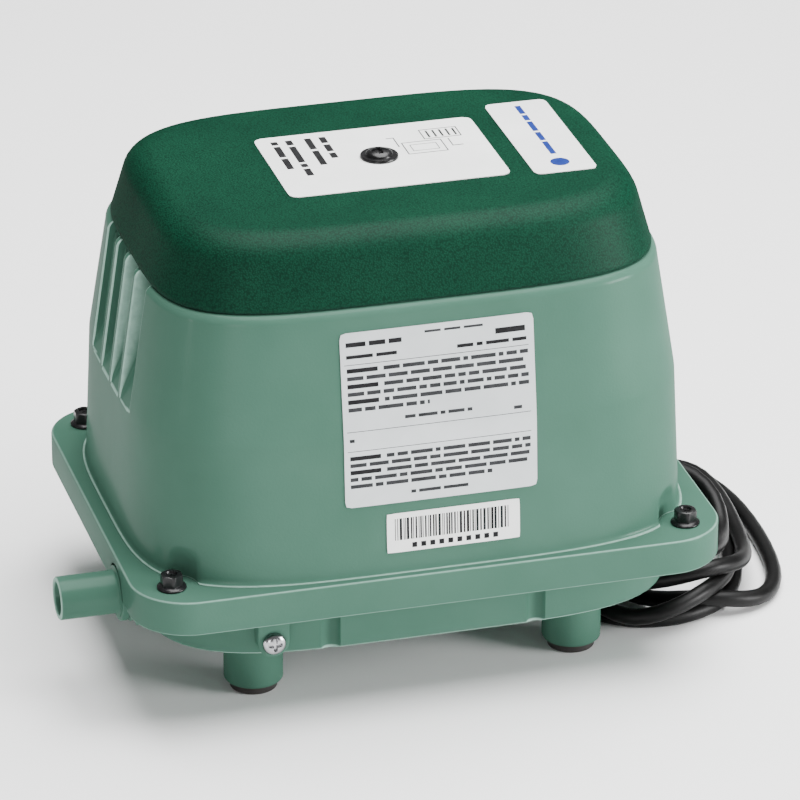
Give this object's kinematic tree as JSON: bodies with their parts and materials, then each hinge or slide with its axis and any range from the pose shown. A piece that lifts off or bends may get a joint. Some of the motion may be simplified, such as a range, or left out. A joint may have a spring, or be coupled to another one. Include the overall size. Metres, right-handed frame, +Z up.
{
  "type": "linear diaphragm air pump",
  "caption": "Linear diaphragm air pump with a leaning cast housing, lift-off filter cover, side air outlet, rubber feet and a coiled power cord.",
  "frame": {"origin": "under the middle of the pump and its outlet, on the plane that the rubber feet stand on, cord left out", "axes": "+Z up, -Y towards the side with the rating plate, -X the way the air outlet points"},
  "size_m": [0.3415, 0.24, 0.2226],
  "materials": {
    "painted_housing": "satin pale sea-green paint",
    "cover_plastic": "dark green moulded plastic with a fine leather grain",
    "black_steel": "black coated steel",
    "rubber": "black rubber",
    "cord_jacket": "black cord jacket",
    "chrome_steel": "bright plated steel",
    "silver_plate": "silver-grey plate with a satin face",
    "label_white": "off-white label film",
    "filter_foam": "grey filter foam",
    "cast_aluminium": "bare cast aluminium",
    "lamination": "stacked steel laminations",
    "copper_winding": "varnished copper winding",
    "magnet": "plated magnet",
    "nylon": "black glass-filled nylon"
  },
  "bodies": {
    "housing": {"lower_housing": "painted_housing", "outlet_pipe": "painted_housing", "upper_housing": "painted_housing", "housing_gasket": "rubber", "flange_bolt_1": "black_steel", "rubber_foot_1": "rubber", "rubber_mount_1": "rubber", "flange_bolt_2": "black_steel", "rubber_foot_2": "rubber", "rubber_mount_2": "rubber", "flange_bolt_3": "black_steel", "rubber_foot_3": "rubber", "rubber_mount_3": "rubber", "flange_bolt_4": "black_steel", "rubber_foot_4": "rubber", "rubber_mount_4": "rubber", "ground_screw": "chrome_steel", "filter_element": "filter_foam", "barcode_label": "label_white", "rating_plate": "silver_plate", "tank_plate": "cast_aluminium", "pump_frame": "cast_aluminium", "diaphragm_left": "rubber", "air_hose_left": "rubber", "pump_head_left": "nylon", "head_lid_left": "nylon", "diaphragm_right": "rubber", "air_hose_right": "rubber", "pump_head_right": "nylon", "head_lid_right": "nylon", "core_front": "lamination", "core_rear": "lamination", "coil_front": "copper_winding", "coil_rear": "copper_winding", "safety_switch": "nylon", "cord_gland": "rubber", "cord_lead": "cord_jacket", "cord_coil": "cord_jacket", "cord_tail": "cord_jacket", "power_plug": "cord_jacket"},
    "armature": {"magnet_rod": "cast_aluminium", "magnet_left": "magnet", "magnet_right": "magnet", "inner_plate_left": "cast_aluminium", "inner_plate_right": "cast_aluminium", "outer_plate_left": "cast_aluminium", "outer_plate_right": "cast_aluminium", "rod_nut_left": "black_steel", "rod_nut_right": "black_steel"},
    "cover": {"filter_cover": "cover_plastic", "service_label": "label_white", "top_sticker": "label_white", "cover_screw_washer": "rubber"},
    "cover_screw": {"cover_screw": "black_steel"},
    "switch_lever": {"switch_lever": "chrome_steel"},
    "suction_flap_left": {"suction_flap_left": "rubber"},
    "suction_flap_right": {"suction_flap_right": "rubber"},
    "discharge_flap_left": {"discharge_flap_left": "rubber"},
    "discharge_flap_right": {"discharge_flap_right": "rubber"}
  },
  "joints": [
    {"name": "armature_slide", "type": "slide", "parent": "housing", "child": "armature", "axis": [1, 0, 0], "range_m": [-0.0025, 0.0025], "stiffness_N_per_m": 8000, "deforming": ["diaphragm_left", "diaphragm_right"]},
    {"name": "cover_lift", "type": "slide", "parent": "housing", "child": "cover", "axis": [0, 0, 1], "range_m": [0, 0.08]},
    {"name": "cover_screw_turn", "type": "hinge", "parent": "cover", "child": "cover_screw", "pos_m": [0.013, 0, 0.22], "axis": [0, 0, 1], "continuous": true},
    {"name": "switch_lever_swing", "type": "hinge", "parent": "housing", "child": "switch_lever", "pos_m": [0.006, -0.0506, 0.09], "axis": [0, 0, 1], "range_deg": [0, 12], "stiffness_Nm_per_rad": 0.02},
    {"name": "suction_flap_right_swing", "type": "hinge", "parent": "housing", "child": "suction_flap_right", "pos_m": [0.0903, -0.012, 0.1346], "axis": [0, 1, 0], "range_deg": [0, 12], "stiffness_Nm_per_rad": 0.0004},
    {"name": "discharge_flap_right_swing", "type": "hinge", "parent": "housing", "child": "discharge_flap_right", "pos_m": [0.0947, 0.012, 0.1046], "axis": [0, -1, 0], "range_deg": [0, 12], "stiffness_Nm_per_rad": 0.0004},
    {"name": "suction_flap_left_swing", "type": "hinge", "parent": "housing", "child": "suction_flap_left", "pos_m": [-0.0643, 0.012, 0.1346], "axis": [0, -1, 0], "range_deg": [0, 12], "stiffness_Nm_per_rad": 0.0004},
    {"name": "discharge_flap_left_swing", "type": "hinge", "parent": "housing", "child": "discharge_flap_left", "pos_m": [-0.0687, -0.012, 0.1046], "axis": [0, 1, 0], "range_deg": [0, 12], "stiffness_Nm_per_rad": 0.0004}
  ]
}
